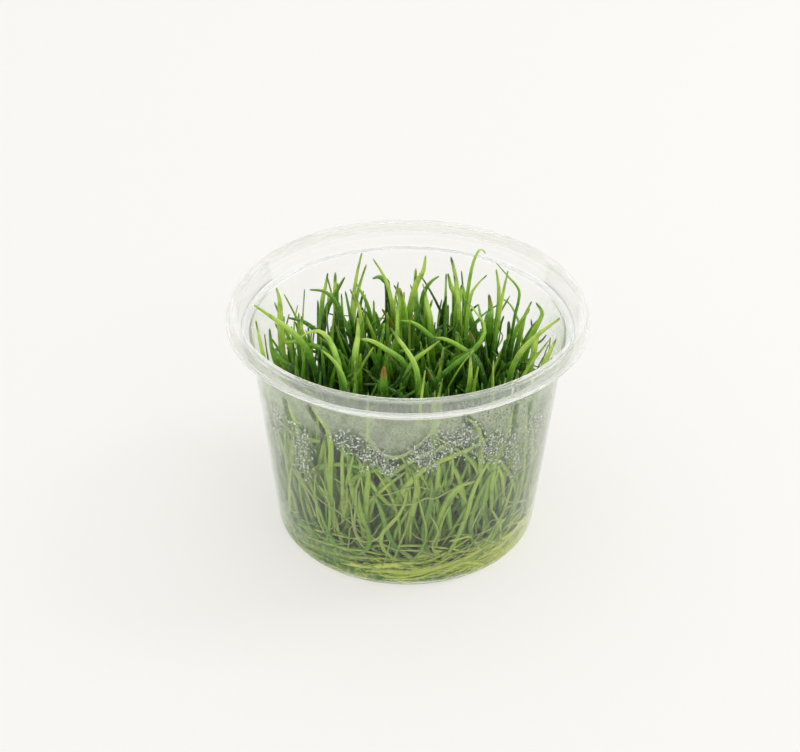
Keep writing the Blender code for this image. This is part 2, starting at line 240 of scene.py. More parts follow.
def turned(name, section, sides):
    """A single point is extruded along the rounded section, and the section is spun round Z."""
    points = rounded(section)
    bpy.ops.object.select_all(action="DESELECT")
    bpy.ops.mesh.primitive_plane_add(size=MM, location=points[0])
    made = bpy.context.object
    made.name = made.data.name = name
    bpy.ops.object.transform_apply(location=True, rotation=True, scale=True)
    bpy.ops.object.mode_set(mode="EDIT")
    bpy.ops.mesh.select_mode(type="VERT")
    bpy.ops.mesh.merge(type="CENTER")
    if section[0][0] > 0:
        points.append(points[0])
    for start, end in zip(points, points[1:]):
        bpy.ops.mesh.extrude_region_move(TRANSFORM_OT_translate={"value": end - start})
    bpy.ops.mesh.select_all(action="SELECT")
    bpy.ops.mesh.spin(steps=sides, angle=2 * math.pi, center=(0, 0, 0), axis=(0, 0, 1))
    bpy.ops.mesh.select_all(action="SELECT")
    bpy.ops.mesh.remove_doubles(threshold=2e-6)
    bpy.ops.mesh.normals_make_consistent(inside=False)
    bpy.ops.object.mode_set(mode="OBJECT")
    bpy.ops.object.shade_smooth()
    return made


def mark(shade, name):
    """A value that the mesh itself carries at each point."""
    return shade.node("Attribute", settings={"attribute_name": name}, out="Fac")


# Radius, height and whiteness of the painted highlight along each moulded edge, which is strongest at the
# front.
PAINTED_EDGE_HIGHLIGHTS = ((47.1, 69.9, 0.44), (49.2, 69.8, 0.14), (50.4, 66.7, 0.50), (50.35, 66.0, 0.42))
CLEAR = (1.0, 1.0, 1.0, 1.0)
MIST = (0.91, 0.96, 0.77, 1.0)
MIST_LIT_THROUGH = (0.91, 0.96, 0.74, 1.0)
MILKY_AND_HIGHLIGHT_WHITE = (0.96, 0.97, 0.92, 1.0)

cup = turned("clear_cup", CUP_SECTION, CUP_SIDES)
plastic, shade, shader = finish("clear_plastic", 0.04, Transmission_Weight=1.0, IOR=1.30, Base_Color=CLEAR)
place = shade.node("TexCoord", out="Object")
x, y, z = (shade.node("SeparateXYZ", {0: place}, out=axis) * (1 / MM) for axis in range(3))
radius = shade.sum("SQRT", x * x + y * y)
front = 1.0 - y.rise(-40.0, -8.0)
rings = shade.node("CombineXYZ", {0: radius, 1: z}).noise(1.3)
edge_highlights = 0.0
for corner_radius, corner_z, strength in PAINTED_EDGE_HIGHLIGHTS:
    off = shade.sum("SQRT", (radius - corner_radius) ** 2.0 + (z - corner_z) ** 2.0)
    edge_highlights = (1.0 - off.rise(0.12, 0.40)) * strength + edge_highlights
# Painted highlights: white laid along the moulded edges, five times stronger at the front than at the back.
edge_highlights = edge_highlights * (0.20 + front * 0.80)
fog = mark(shade, "fog")
beads = shade.node("TexVoronoi", {"Vector": place, "Scale": 1300.0, "Randomness": 1.0})
cloud = place.noise(260.0, 3.0, 0.6)
beading = 0.28 + x.rise(4.0, 22.0) * 0.40
fog = fog * (1.0 - beading + beads.rise(0.15, 0.55) * beading) * (0.82 + cloud.rise(0.35, 0.65) * 0.30)
bloom = shade.node("BsdfDiffuse", {"Color": MIST})
glow = shade.node("BsdfTranslucent", {"Color": MIST_LIT_THROUGH})
veil = shade.node("MixShader", {0: 0.35, 1: bloom, 2: glow})
frost_and_highlight = shade.node("BsdfDiffuse", {"Color": MILKY_AND_HIGHLIGHT_WHITE})
on_wall = 1.0 - z.rise(60.0, 62.0)
on_rim = z.rise(62.4, 63.6)
wave = place.noise(70.0)
feed(shade, shader, Roughness=fog.rise(0.35, 0.9) * 0.12 + on_wall * 0.04 + 0.02,
     Normal=(wave * on_wall).bumps(0.0005, 0.10))
straight = shade.node("BsdfTransparent", {"Color": CLEAR})
thin = on_rim * (0.75 - front * 0.70) + (1.0 - z.rise(1.0, 4.0)) * 0.30
clear = shade.node("MixShader", {0: thin, 1: Shade(shade.tree, shader.outputs[0]), 2: straight})
misted = shade.node("MixShader", {0: fog * 0.68 + z.rise(4.0, 40.0) * 0.02 + 0.008, 1: clear, 2: veil})
# The rim's milky haze, with the painted edge highlights laid over it in the same white.
frost_and_highlight_share = on_rim * (0.03 + rings.rise(0.45, 0.65) * 0.07) + edge_highlights
both = shade.node("MixShader", {0: frost_and_highlight_share, 1: misted, 2: frost_and_highlight})
feed(shade, shade.tree.nodes["Material Output"], Surface=both)
cup.data.materials.append(plastic)
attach(cup, "root")
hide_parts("cup")


# The mat: runners, roots, leaf bases and fallen leaves that have grown into one damp tangle, which fills
# the bottom of the cup and is pressed flat against the wall. A dark core fills its middle, and single
# strands lie round it.
MAT_CENTRE = 9.0  # height of the mat's middle
MAT_RISE = 3.0  # how much higher it stands at the wall
GAP = 0.3  # least distance between two solids of the source
CORE_SIDES = 96
STRANDS = 640
STRAND_SECTIONS = 14
STRAND_WIDTHS = [0.35, 0.5, 0.7, 0.9, 1.3, 1.7]
STRAND_LOWEST = 0.85
STRAND_HIGHEST = 15.5
CORE_DARK = (0.06, 0.14, 0.012, 1.0)
CORE_LIGHT = (0.32, 0.44, 0.05, 1.0)
# Strand colours run from old and shaded to young and lit: partly the strands' own green, partly painted light
# and shade.
STRAND_OLD_AND_SHADED = (0.11, 0.30, 0.018, 1.0)
STRAND_YOUNG_AND_LIT = (0.82, 0.95, 0.130, 1.0)
STRAND_SPECK = (0.12, 0.20, 0.03, 1.0)
STRAND_JOINT = (0.68, 0.70, 0.34, 1.0)


def mat_top(x, y):
    """Height of the mat's upper side, higher towards the wall."""
    reach = math.hypot(x, y) / inner_radius(MAT_CENTRE)
    lumps = 0.5 * math.sin(5 * math.atan2(y, x) + 1.0) * reach * (1 - reach)
    return MAT_CENTRE + MAT_RISE * reach ** 3 + lumps


def wall_point(angle, z, distance):
    """A point at a distance from the inside of the wall. The angle is 0 at the front, growing to +X."""
    radius = inner_radius(z) - distance
    turn = math.radians(angle)
    return Vector((radius * math.sin(turn), -radius * math.cos(turn), z))


def evenly(share):
    """Sections that lie evenly along a route."""
    return share


def clamped(value, lowest=0.0):
    """A value held between the lowest and 1."""
    return min(1.0, max(lowest, value))


def smooth_route(points, count, spacing=evenly):
    """Points on a smooth curve through the given ones, evenly numbered unless a spacing shifts them."""
    points = [Vector(point) for point in points]
    ends = [2 * points[0] - points[1]] + points + [2 * points[-1] - points[-2]]
    spans = len(points) - 1
    route = []
    for step in range(count):
        place_on = spacing(step / (count - 1)) * spans
        span = min(int(place_on), spans - 1)
        t = place_on - span
        a, b, c, d = ends[span:span + 4]
        route.append(0.5 * (2 * b + (c - a) * t + (2 * a - 5 * b + 4 * c - d) * t * t
                            + (3 * b - a - 3 * c + d) * t ** 3))
    return route


def blank_blade(sides, sections, taper, channel=0.0):
    """A pattern piece 1 long and 2 across, extruded section by section along Z from a flattened circle.
    Returns its points as rows of across, depth and length, and its faces."""
    bpy.ops.object.select_all(action="DESELECT")
    bpy.ops.mesh.primitive_circle_add(vertices=sides, radius=1.0, fill_type="NGON")
    made = bpy.context.object
    bpy.ops.object.mode_set(mode="EDIT")
    bpy.ops.mesh.select_all(action="SELECT")
    width = taper(0.0)
    bpy.ops.transform.resize(value=(width, max(width, 0.6), 1.0), center_override=(0, 0, 0))
    for step in range(1, sections + 1):
        wider = taper(step / sections) / width
        width *= wider
        bpy.ops.mesh.extrude_region_move(TRANSFORM_OT_translate={"value": (0, 0, 1 / sections)})
        deeper = max(taper(step / sections), 0.45) / max(taper((step - 1) / sections), 0.45)
        bpy.ops.transform.resize(value=(wider, deeper, 1.0), center_override=(0, 0, step / sections))
    bpy.ops.mesh.select_all(action="SELECT")
    bpy.ops.mesh.normals_make_consistent(inside=False)
    bpy.ops.object.mode_set(mode="OBJECT")
    points = np.array([tuple(vertex.co) for vertex in made.data.vertices])
    points[:, 1] += channel * np.abs(points[:, 0])
    faces = [tuple(face.vertices) for face in made.data.polygons]
    mesh = made.data
    bpy.data.objects.remove(made)
    bpy.data.meshes.remove(mesh)
    return points, faces


def laid(blank, route, width, depth, across=None, twist=0.0):
    """The blank's points along a midline. With no across it lies flat against the wall."""
    route = np.array([tuple(point) for point in route])
    sections = len(route) - 1
    ahead = np.gradient(route, axis=0)
    ahead /= np.linalg.norm(ahead, axis=1)[:, None]
    if across is None:
        outward = route * (1.0, 1.0, 0.0)
        sideways = np.cross(ahead, outward)
    else:
        sideways = np.empty_like(route)
        for index in range(sections + 1):
            across = across - ahead[index] * across.dot(ahead[index])
            across = across / np.linalg.norm(across)
            sideways[index] = across
    sideways /= np.linalg.norm(sideways, axis=1)[:, None]
    facing = np.cross(ahead, sideways)
    turn = (twist * np.linspace(0, 1, sections + 1) ** 1.3)[:, None]
    sideways, facing = (np.cos(turn) * sideways + np.sin(turn) * facing,
                        np.cos(turn) * facing - np.sin(turn) * sideways)
    ring = np.rint(blank[:, 2] * sections).astype(int)
    return (route[ring] + sideways[ring] * blank[:, :1] * width / 2
            + facing[ring] * blank[:, 1:2] * depth / 2)


def many(name, copies, faces):
    """One mesh of many copies of a pattern piece."""
    count = len(copies[0])
    mesh = bpy.data.meshes.new(name)
    mesh.from_pydata((np.concatenate(copies) * MM).tolist(), [],
                     [tuple(corner + count * copy for corner in face)
                      for copy in range(len(copies)) for face in faces])
    made = bpy.data.objects.new(name, mesh)
    bpy.context.scene.collection.objects.link(made)
    return made


def marked(made, name, values):
    """Keeps a value for each point of a mesh, which mark() reads in its material."""
    made.data.attributes.new(name, "FLOAT", "POINT").data.foreach_set("value", values)


def joined(name, blank, faces, copies, marks, spacing=evenly):
    """One mesh of many laid copies. The marks hold a value for each copy."""
    made = many(name, copies, faces)
    for kind, values in marks.items():
        marked(made, kind, np.repeat(np.array(values, dtype=np.float32), len(blank)))
    marked(made, "along", np.tile(spacing(blank[:, 2]).astype(np.float32), len(copies)))
    marked(made, "across", np.tile(blank[:, 0].astype(np.float32), len(copies)))
    made.data.shade_smooth()
    return made


def picked(made):
    """Makes an object the only selected one, and the active one."""
    bpy.ops.object.select_all(action="DESELECT")
    made.select_set(True)
    bpy.context.view_layer.objects.active = made


core_section = [(0.0, MAT_CENTRE - 0.5, 0.0), (20.0, MAT_CENTRE - 0.3, 3.0), (31.0, MAT_CENTRE + 1.0, 3.0),
                (inner_radius(10.0) - 2.2, 10.5, 0.8), (inner_radius(3.0) - 1.1, 3.0, 0.8),
                (35.2, 0.8, 0.5), (0.0, 0.8, 0.0)]
core = turned("mat_core", core_section, CORE_SIDES)
picked(core)
lumps = bpy.data.textures.new("mat_lumps", "CLOUDS")
lumps.noise_scale = 0.004
heave = core.modifiers.new("tangle", "DISPLACE")
heave.texture = lumps
heave.strength = 1.6 * MM
heave.mid_level = 0.9
bpy.ops.object.modifier_apply(modifier=heave.name)

tangle, shade, shader = finish("mat_core", 0.5)
place = shade.node("TexCoord", out="Object")
fibres = shade.node("Mapping", {0: place, "Scale": (1.0, 1.0, 5.0)}).noise(260.0, 6.0, 0.7)
feed(shade, shader, Base_Color=fibres.rise(0.35, 0.65).blend(CORE_DARK, CORE_LIGHT),
     Roughness=fibres * 0.4 + 0.3, Normal=fibres.bumps(0.0006))
core.data.materials.append(tangle)
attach(core, "root")
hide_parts("runner_mat")

rng = random.Random(41)
strand_blank, strand_faces = blank_blade(6, STRAND_SECTIONS,
                                         lambda t: 0.45 + 0.55 * math.sin(math.pi * t) ** 0.6)
strand_routes, strand_tones_and_side_light = [], []
for number in range(STRANDS):
    start = rng.uniform(-180, 180)
    reach = rng.choice([-1, 1]) * rng.uniform(10, 46)
    height = 1.0 + 9.5 * rng.random() ** 1.5
    drift = rng.gauss(0.0, 4.0)
    sag = rng.gauss(0.0, 1.5)
    depth_in = rng.uniform(0.35, 1.2) if rng.random() < 0.7 else rng.uniform(1.2, 3.0)
    points = []
    for step in range(6):
        share = step / 5
        z = height + drift * share + sag * math.sin(math.pi * share) + rng.uniform(-0.5, 0.5)
        z = min(STRAND_HIGHEST, max(STRAND_LOWEST, z))
        inward = depth_in + rng.uniform(-0.1, 0.4) + max(0.0, 1.6 - z) * 0.3
        points.append(wall_point(start + reach * share, z, max(0.35, inward)))
    strand_routes.append((points, rng.choice(STRAND_WIDTHS), rng.uniform(0.40, 0.65)))
    # Painted light: strands towards the right, the key lamp's side, get a lighter tone, and strands further
    # in from the wall a darker one; the rest varies at random.
    side = 0.5 + 0.5 * math.sin(math.radians(start + reach / 2))
    strand_tones_and_side_light.append(clamped(0.02 + 0.95 * side ** 1.5 + rng.gauss(0.0, 0.28) - 0.06 * depth_in))
strands = joined("mat_strands", strand_blank, strand_faces,
                 [laid(strand_blank, smooth_route(points, STRAND_SECTIONS + 1), width, min(width, depth))
                  for points, width, depth in strand_routes], {"tone": strand_tones_and_side_light})

runner_green, shade, shader = finish("damp_runners", 0.35, Subsurface_Weight=0.25, Subsurface_Scale=0.001,
                                     Subsurface_Radius=(0.7, 1.0, 0.25))
tone = mark(shade, "tone")
along = mark(shade, "along")
speck = shade.node("TexCoord", out="Object").noise(500.0, 3.0)
# Tone picks between old strands in painted shade and young ones in painted light.
body = tone.blend(STRAND_OLD_AND_SHADED, STRAND_YOUNG_AND_LIT)
body = (speck.rise(0.45, 0.75) * 0.35).blend(body, STRAND_SPECK)
joints = shade.sum("ABSOLUTE", shade.sum("SINE", along * 19.0)) ** 14.0
body = (joints * 0.5).blend(body, STRAND_JOINT)
feed(shade, shader, Base_Color=body, Roughness=speck * 0.3 + 0.2, Normal=speck.bumps(0.0002, 0.4))
strands.data.materials.append(runner_green)
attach(strands, "root")


# The plantlets: tufts of narrow, flat, hollow leaves, each tuft on a crown that a runner has rooted in
# the mat. Young leaves are yellow-green and lit through, old ones dark, with grey-brown curled tips.
CROWN = 1.7  # radius of a crown
CROWN_HALF_HEIGHT = 2.2
CROWN_SPACING = 7.0
CROWNS = 35
WALL_CROWN_INWARD = 5.0  # distance from the wall of a crown whose leaves are pressed to it
CROWN_REACH = 31.0  # how far from the axis the crowns spread
PLACES = 400  # places tried for them, on a spiral
CLEARANCE = 2.7  # least distance between the midlines of two plantlets' leaves
LEAVES_EACH = 4
LEAF_TRIES = 500
LEAF_SPANS = 4
LEAF_TOP = 68.0  # top of the tallest leaf that follows the rule

# The crown's x and y, then one route for each leaf that stands out, from above the crown to the tip.
OPEN_PLANTLETS = [
    ((16, 14), [((16, 16, 42), (17, 18, 60), (18, 19, 70), (20, 20, 76), (22, 20, 75)),
                ((15, 14, 42), (15, 13, 57), (14, 14, 65), (13, 14, 71))]),
    ((0, 17), [((0, 18, 42), (1, 20, 60), (4, 21, 67), (5, 22, 73)),
               ((-1, 21, 42), (-2, 24, 56), (-4, 24, 62))]),
    ((-7, 16), [((-4, 18, 42), (-4, 18, 55), (-6, 20, 65), (-10, 20, 73)),
                ((-10, 20, 42), (-11, 21, 55), (-15, 22, 64))]),
    ((-24, 15), [((-24, 18, 42), (-25, 20, 55), (-24, 22, 61), (-23, 22, 67)),
                 ((-25, 15, 40), (-24, 17, 55), (-21, 18, 62), (-18, 18, 68))]),
    ((-17, 8), [((-18, 12, 42), (-19, 14, 54), (-20, 15, 60), (-23, 16, 64), (-28, 16, 65)),
                ((-14, 11, 40), (-13, 13, 54), (-15, 16, 64))]),
    ((-27, 6), [((-34, 6, 35), (-36, 8, 54), (-36, 10, 63), (-37, 10, 69)),
                ((-29, 6, 42), (-30, 7, 55), (-30, 8, 61))]),
    ((-21, -1), [((-25, -1, 45), (-29, 0, 56), (-33, 2, 60), (-38, 4, 63), (-43, 4, 67))]),
    ((-28, -8), [((-36, -7, 38), (-40, -6, 57), (-42, -3, 66))]),
    ((-16, -15), [((-17, -14, 38), (-18, -12, 51), (-20, -7, 58), (-23, -3, 62), (-27, -2, 62),
                   (-30, -2, 60)),
                  ((-16, -16, 40), (-17, -14, 52), (-20, -10, 57), (-24, -8, 60))]),
    ((27, 14), [((29, 14, 42), (31, 16, 59), (32, 17, 64), (29, 18, 68), (25, 18, 73)),
                ((25, 16, 42), (26, 17, 56), (26, 18, 64), (25, 18, 71)),
                ((30, 12, 40), (32, 11, 52), (33, 12, 58), (35, 12, 64))]),
    ((20, 6), [((24, 10, 42), (26, 11, 61), (28, 12, 74)),
               ((17, 8, 42), (17, 10, 62), (19, 11, 69), (22, 11, 73))]),
    ((27, 3), [((32, 5, 40), (34, 6, 52), (36, 7, 58), (38, 8, 62), (36, 8, 66)),
               ((29, 7, 42), (30, 8, 54), (33, 8, 61))]),
    ((25, -7), [((28, -6, 42), (29, -6, 52), (32, -4, 58), (37, -3, 63), (42, -2, 67)),
                ((33, -10, 42), (38, -9, 57), (41, -5, 62))]),
    ((9, 21), [((11, 21, 42), (11, 23, 54), (11, 24, 66)),
               ((5, 23, 42), (4, 25, 55), (6, 26, 61), (9, 26, 64))]),
    ((-1, 9), [((-1, 11, 42), (-1, 13, 57), (-2, 14, 66)),
               ((-3, 5, 42), (-3, 3, 54), (-3, 6, 61), (-3, 8, 66))]),
    ((-15, 22), [((-15, 20, 38), (-16, 20, 50), (-18, 22, 61))]),
    ((3, -14), [((3, -14, 38), (3, -14, 52), (2, -11, 57), (-1, -8, 61), (-5, -6, 66))]),
    ((-5, -7), [((-3, -8, 38), (-1, -8, 48), (1, -6, 54), (5, -4, 57), (9, -3, 60))]),
    ((8, -6), [((7, -8, 38), (8, -8, 50), (16, -4, 55), (22, 2, 59), (19, 6, 64), (16, 8, 67))]),
    ((15, -17), [((16, -17, 40), (17, -18, 56), (17, -15, 64))]),
]

# The same at the wall: the crown's angle, then each leaf's angle, height and distance from the wall.
WALL_PLANTLETS = [
    (-34, [((-33, 26, 1), (-31, 41, 1), (-30, 50, 1), (-34, 55, 1), (-37, 58, 1)),
           ((-27, 25, 1), (-26, 40, 1), (-24, 51, 1))]),
    (-54, [((-48, 30, 4), (-46, 46, 1), (-49, 52, 1), (-50, 56, 1)),
           ((-56, 25, 3), (-62, 40, 1), (-66, 52, 1))]),
    (-17, [((-17, 27, 1), (-15, 38, 1), (-16, 45, 1)),
           ((-8, 22, 4), (-2, 34, 4), (4, 41, 4), (12, 45, 1), (27, 48, 1), (34, 51, 1))]),
    (0, [((2, 26, 1), (4, 35, 1), (3, 40, 1), (-1, 45, 1))]),
    (12, [((11, 28, 5), (12, 38, 5), (12, 46, 5)), ((14, 25, 1), (18, 33, 1), (23, 35, 1), (29, 35, 1))]),
    (29, [((26, 22, 4), (22, 26, 4), (16, 31, 4)), ((30, 36, 5), (29, 46, 5), (27, 54, 3), (21, 59, 1))]),
    (44, [((38, 25, 1), (36, 38, 1), (41, 48, 1), (42, 58, 1))]),
    (58, [((57, 22, 1), (55, 34, 1), (52, 46, 1), (50, 56, 1))]),
]

# Single runners and pale roots on the wall: radius, then angle and height along the route.
WALL_RUNNERS = [
    (0.45, ((-15, 54), (-11, 49), (-6, 47), (-1, 48), (5, 52), (12, 59))),
    (0.40, ((-20, 34), (-21, 26), (-22, 19), (-19, 15), (-14, 16), (-10, 19), (-8, 25))),
    (0.40, ((-52, 33), (-46, 28), (-41, 24), (-38, 18))),
]


def way(tilt, turn):
    """The direction that leans by tilt from upright, towards turn."""
    return Vector((math.sin(tilt) * math.cos(turn), math.sin(tilt) * math.sin(turn), math.cos(tilt)))


def grown_route(start, length, lean, curl, heading, spin, spans=LEAF_SPANS):
    """A leaf's midline: it leaves the crown at a lean, and curls and turns as it grows."""
    route = [Vector(start)]
    for step in range(spans):
        t = (step + 0.5) / spans
        route.append(route[-1] + way(lean + curl * t ** 1.6, heading + spin * t) * (length / spans))
    return route


def samples(route, per_span=6):
    """Points along a route, close enough together to measure clearances."""
    found = [start.lerp(end, step / per_span)
             for start, end in zip(route, route[1:]) for step in range(per_span)]
    return np.array(found + [route[-1]])


def fits(route, half_width, obstacles):
    """True where a leaf stays inside the cup, above the mat, and clear of the other plantlets."""
    points = samples(route)
    reach = np.hypot(points[:, 0], points[:, 1])
    limit = np.where(points[:, 2] < RIM_FOOT, inner_radius(points[:, 2]), RIM_RADIUS) - half_width - GAP
    if np.any(reach > limit) or points[:, 2].max() > LEAF_TOP:
        return False
    if np.any(points[8:, 2] < MAT_CENTRE + MAT_RISE + half_width):
        return False
    return np.linalg.norm(points[:, None, :] - obstacles[None, :, :], axis=2).min() > CLEARANCE


def crown_at(x, y):
    """The crown's centre, resting just above the mat."""
    return Vector((x, y, mat_top(x, y) + GAP + CROWN_HALF_HEIGHT))


def leaf_foot(crown, heading):
    """Where a leaf leaves its crown, off the crown's middle on the leaf's own side."""
    return crown + Vector((math.cos(heading), math.sin(heading), 0.0)) * (0.5 * CROWN)


def route_from(crown, points):
    """A leaf's midline from its crown through the given points to its tip."""
    points = [Vector(point) for point in points]
    towards = points[0] - crown
    foot = leaf_foot(crown, math.atan2(towards.y, towards.x))
    return smooth_route([foot, *points], len(points) + 2)


plantlets = []
for (x, y), routes in OPEN_PLANTLETS:
    crown = crown_at(x, y)
    plantlets.append((crown, [(route_from(crown, route), False) for route in routes]))
for angle, routes in WALL_PLANTLETS:
    foot = wall_point(angle, MAT_CENTRE, WALL_CROWN_INWARD)
    crown = crown_at(foot.x, foot.y)
    walls = [[wall_point(*step) for step in route] for route in routes]
    plantlets.append((crown, [(route_from(crown, points), True) for points in walls]))
crowns = [crown for crown, _ in plantlets]
golden = math.pi * (3 - math.sqrt(5))
for index in range(PLACES):
    reach = CROWN_REACH * math.sqrt((index + 0.5) / PLACES)
    crown = crown_at(reach * math.cos(index * golden), reach * math.sin(index * golden))
    if len(crowns) < CROWNS and all((crown - other).length > CROWN_SPACING for other in crowns):
        crowns.append(crown)
        plantlets.append((crown, []))

runner_routes = [smooth_route([wall_point(angle, z, radius + GAP) for angle, z in steps], 2 * len(steps) + 1)
                 for radius, steps in WALL_RUNNERS]
rng = random.Random(726)
grown = [[samples(route) for route, _ in routes] for _, routes in plantlets]
leaves_of = []
for index, (crown, routes) in enumerate(plantlets):
    others = [route for other, group in enumerate(grown) if other != index for route in group]
    single = [np.array([other]) for other in crowns if other is not crown]
    obstacles = np.concatenate(others + single + [samples(route) for route in runner_routes])
    for attempt in range(LEAF_TRIES):
        if len(routes) >= LEAVES_EACH:
            break
        outward = math.atan2(crown.y, crown.x)
        heading = rng.uniform(-math.pi, math.pi) if rng.random() < 0.6 else outward
        route = grown_route(leaf_foot(crown, heading), rng.uniform(30, 54), math.radians(rng.uniform(1, 20)),
                            math.radians(rng.uniform(-10, 55)), heading, rng.uniform(-0.8, 0.8))
        if fits(route, 1.2, obstacles):
            routes.append((route, False))
            grown[index].append(samples(route))
    leaves_of.append([(route, rng.uniform(1.8, 2.5), on_wall) for route, on_wall in routes])


def nearer_tip(share):
    """Sections lie closer together towards a leaf's tip, which is round."""
    return 1 - (1 - share) ** 1.5


def blade_taper(share):
    """Half width along a leaf: narrow at the crown, even to the middle, then to a small round tip."""
    t = nearer_tip(share)
    if t > 0.999:
        return 0.14
    return min(1.0, 0.50 + 2.2 * t) * (1.0 if t < 0.4 else 1.0 - 0.72 * ((t - 0.4) / 0.6) ** 1.7)


SECTIONS = 15
LEAF_SIDES = 8
PRESSED = 116  # leaves that grow up against the wall
PRESSED_INWARD = [0.45, 0.6, 0.8, 1.6, 2.4]
PRESSED_TOP = 56.0
TALLEST = 76.3  # top of the tallest leaf
CROWD_EACH = 25  # plain leaves in each tuft, and the top of the tallest
CROWD_TOP = 64.0
CROWD_SPANS = 9
CANOPY = 57.5  # how high the plain leaves reach over the cup's axis
pressed_on = []  # leaves that touch the wall: midline and width
leaf_blank, leaf_faces = blank_blade(LEAF_SIDES, SECTIONS, blade_taper, channel=0.30)


def canopy(y):
    """How high the crowd of plain leaves reaches, lower towards the front."""
    return CANOPY + (0.17 if y < 0 else 0.24) * y


def crowd_route(crown, rng):
    """A plain leaf of the crowd: it grows beside the crown, and slides along the wall if it meets it."""
    outward = math.atan2(crown.y, crown.x)
    edge = math.hypot(crown.x, crown.y) > 20
    outer = edge and rng.random() < 0.30
    heading = outward + rng.gauss(0.0, 1.0) if outer else rng.uniform(-math.pi, math.pi)
    lean = math.radians(abs(rng.gauss(0.0, 15.0)))
    curl = math.radians(rng.uniform(-70, 150)) * rng.random() ** 0.8
    spin = rng.gauss(0.0, 1.4)
    length = rng.uniform(26, 58)
    route = [leaf_foot(crown, heading) + Vector((rng.gauss(0, 1.6), rng.gauss(0, 1.6), -0.8))]
    for step in range(CROWD_SPANS):
        t = (step + 0.5) / CROWD_SPANS
        point = route[-1] + way(lean + curl * t ** 1.9, heading + spin * t) * (length / CROWD_SPANS)
        limit = (inner_radius(point.z) if point.z < 63 else 45.0) - 1.3
        reach = math.hypot(point.x, point.y)
        if reach > limit:
            point = Vector((point.x * limit / reach, point.y * limit / reach,
                            point.z + 0.4 * (reach - limit)))
        if point.z > canopy(point.y) + rng.uniform(-4, 4) or point.z < 11.0:
            break
        route.append(point)
    if len(route) < 6:
        return crowd_route(crown, rng)
    lower = min(1.0, (CROWD_TOP - crown.z) / (max(point.z for point in route) - crown.z))
    return [Vector((point.x, point.y, crown.z + (point.z - crown.z) * lower)) for point in route]


def pressed_route(angle, rng):
    """A leaf against the wall: it leaves the mat nearly level, and bends upright between the others."""
    side = rng.choice([-1, 1])
    level, upright, bend = side * rng.uniform(0.5, 1.5), rng.gauss(0.0, 0.25), rng.gauss(0.0, 1.1)
    length = rng.uniform(18, 48)
    angle -= side * 8
    z = rng.uniform(2.5, 11)
    inward = rng.choice(PRESSED_INWARD)
    route = []
    for step in range(CROWD_SPANS + 1):
        share = step / CROWD_SPANS
        route.append(wall_point(angle, min(z, PRESSED_TOP), inward + min(2.0, max(0.0, 10.0 - z) * 0.3)))
        tilt = level + (upright - level) * min(1.0, share / 0.4) + bend * max(0.0, share - 0.5)
        angle += math.degrees(math.sin(tilt) * length / CROWD_SPANS / inner_radius(z))
        z += math.cos(tilt) * length / CROWD_SPANS
    return route


def against_wall(point):
    """A pressed leaf's point, moved out to the wall where the leaf is above the others."""
    reach = math.hypot(point.x, point.y)
    risen = clamped((point.z - 26) / 10)
    outward = max(1.0, 1 + (inner_radius(point.z) - 0.9 - reach) / reach * risen)
    return Vector((point.x * outward, point.y * outward, point.z))


# More leaves that stand out, from low down to the tip, each with its width, tone and age. The aged ones
# are brown at the top: four short stubs and two broad leaves.
MORE_LEAVES = [
    (((7, 10, 50), (5.8, 13, 60), (4.8, 14, 66)), 1.9, 0.80, 0),
    (((-15, -6, 50), (-14, 0, 57), (-14, 4, 63)), 2.0, 0.85, 0),
    (((13.8, 22, 53), (12.8, 24, 60), (11.5, 24, 66)), 1.8, 0.60, 0),
    (((-5.7, 25, 54), (-6.2, 26, 61), (-8.0, 26, 63.5), (-10.2, 26, 63)), 1.9, 0.10, 0),
    (((23.3, 11, 53), (23.7, 13, 59), (23.0, 14, 65)), 2.3, 0.50, 0.55),
    (((-22, 8, 48), (-25, 9, 54), (-29, 11, 57), (-34, 12, 58)), 1.8, 0.10, 0),
    (((34.0, -3, 48), (35.8, 2, 55.7), (37.4, 4, 59.5)), 1.9, 0.70, 0),
    (((13.6, 14, 50), (14.6, 15, 62), (15.3, 16, 67)), 1.9, 0.60, 0),
    (((-1.0, 15, 50), (-1.7, 16, 60), (-2.5, 16, 65.8)), 2.9, 0.95, 0.40),
    (((-6.7, -15, 46), (-6.6, -15, 53), (-6.5, -15, 59.0)), 3.0, 0.45, 1.0),
    (((7.0, -12, 46), (7.0, -12, 52), (5.8, -12, 56)), 1.3, 0.30, 0.9),
    (((18.7, 4, 46), (18.7, 4, 54), (17.6, 4, 58.5)), 1.7, 0.30, 0.85),
    (((18.1, -18, 46), (18.1, -18, 53), (17.8, -18, 57)), 1.5, 0.30, 0.85),
    (((-30, -2, 44), (-34, -1, 50), (-38, 1, 55)), 1.8, 0.15, 0),
    (((-35, 3, 42), (-38, 4, 50), (-39, 6, 58)), 1.9, 0.35, 0),
    (((-31, 9, 42), (-35, 12, 50), (-38, 14, 55)), 1.7, 0.80, 0),
    (((-27, -14, 42), (-31, -14, 48), (-35, -12, 54), (-38, -10, 57)), 1.9, 0.55, 0),
    (((-20, 3, 46), (-25, 3, 53), (-31, 4, 55), (-36, 6, 53)), 1.7, 0.60, 0),
    (((2, -4, 46), (-3, -3, 54), (-9, -1, 58), (-14, 1, 58)), 1.9, 0.75, 0),
    (((12, 2, 46), (8, 3, 55), (3, 5, 60), (-2, 6, 61)), 1.9, 0.45, 0),
    (((22, -3, 46), (18, -2, 54), (12, 0, 58), (7, 1, 58.5)), 1.8, 0.60, 0),
]
